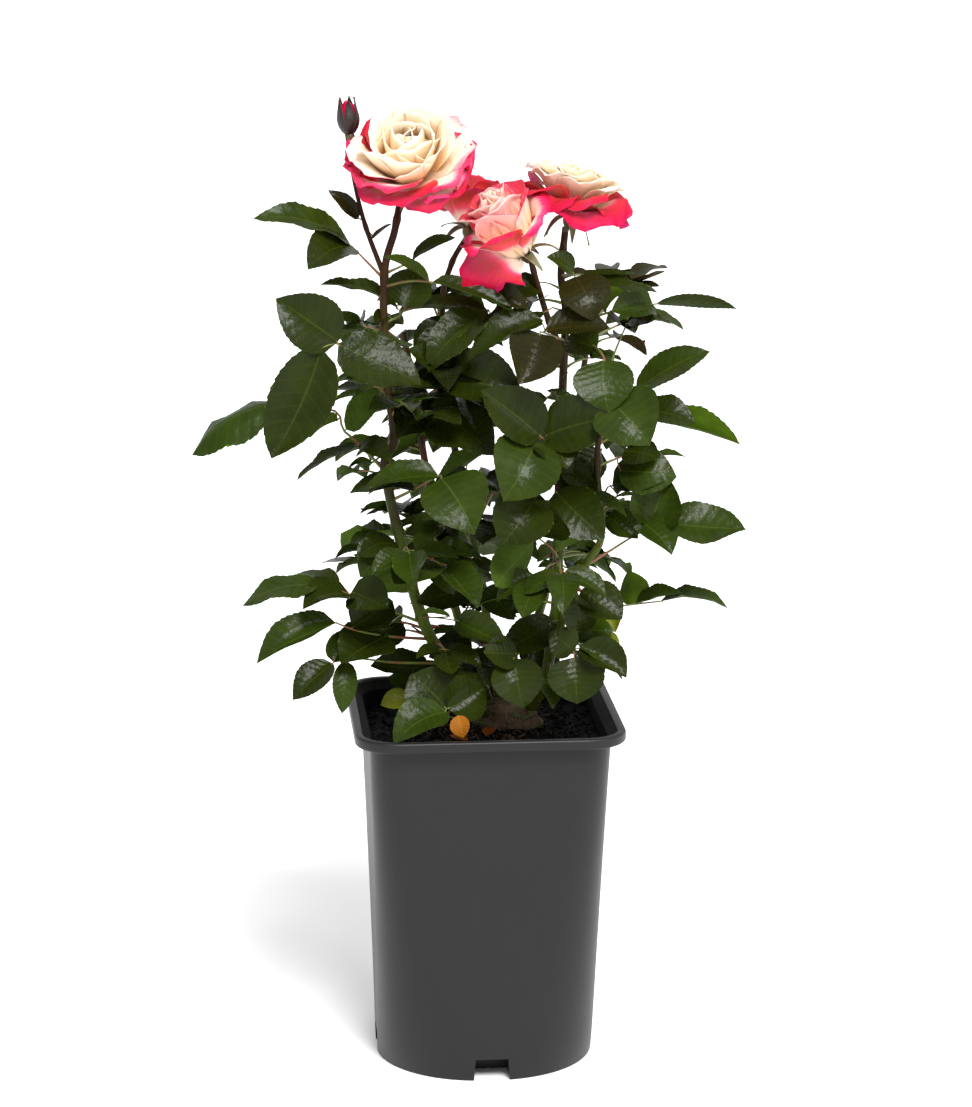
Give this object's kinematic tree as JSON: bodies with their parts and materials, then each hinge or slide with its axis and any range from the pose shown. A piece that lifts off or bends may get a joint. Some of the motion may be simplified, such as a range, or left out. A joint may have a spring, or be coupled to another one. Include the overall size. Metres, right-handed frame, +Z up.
{
  "type": "potted rose bush",
  "caption": "Rose bush in a tall grey plastic container, with upright thorny canes, glossy leaf sprays and cream flowers edged in red.",
  "frame": {"origin": "middle of the container's flat underside, where it meets the ground", "axes": "+Z up along the container's axis, -Y towards the front of the bush, +X to the right seen from the front; the container's square mouth is turned 4.9 degrees about +Z"},
  "size_m": [0.3914, 0.2621, 0.6794],
  "materials": {
    "pot_plastic": "satin",
    "compost": "matte",
    "cane_bark": "satin",
    "foliage": "satin",
    "petals": "satin"
  },
  "bodies": {
    "root": {"pot": "pot_plastic", "compost": "compost", "graft_knuckle": "cane_bark", "cane_back_left": "cane_bark", "cane_back_right": "cane_bark", "cane_far_right": "cane_bark", "cane_left": "cane_bark", "cane_middle": "cane_bark", "cane_right": "cane_bark", "bud_bough": "cane_bark", "centre_bloom_bough": "cane_bark", "bloom_back": "petals", "bloom_centre": "petals", "bloom_left": "petals", "bloom_right": "petals", "bud": "petals", "back_crown_left_spray": "foliage", "back_crown_right_spray": "foliage", "back_foot_spray": "foliage", "back_heart_spray": "foliage", "back_left_low_spray": "foliage", "back_left_spray": "foliage", "back_low_spray": "foliage", "back_neck_spray": "foliage", "back_right_low_spray": "foliage", "back_right_spray": "foliage", "foot_front_spray": "foliage", "foot_left_spray": "foliage", "foot_right_spray": "foliage", "front_left_spray": "foliage", "front_low_left_spray": "foliage", "front_low_right_spray": "foliage", "front_right_spray": "foliage", "heart_high_spray": "foliage", "heart_low_spray": "foliage", "left_broad_spray": "foliage", "left_high_spray": "foliage", "left_low_spray": "foliage", "left_rim_spray": "foliage", "left_tip_spray": "foliage", "left_top_spray": "foliage", "left_waist_spray": "foliage", "neck_left_spray": "foliage", "neck_right_spray": "foliage", "right_foot_spray": "foliage", "right_high_spray": "foliage", "right_low_spray": "foliage", "right_mid_spray": "foliage", "right_rim_spray": "foliage", "right_top_spray": "foliage"}
  },
  "joints": []
}
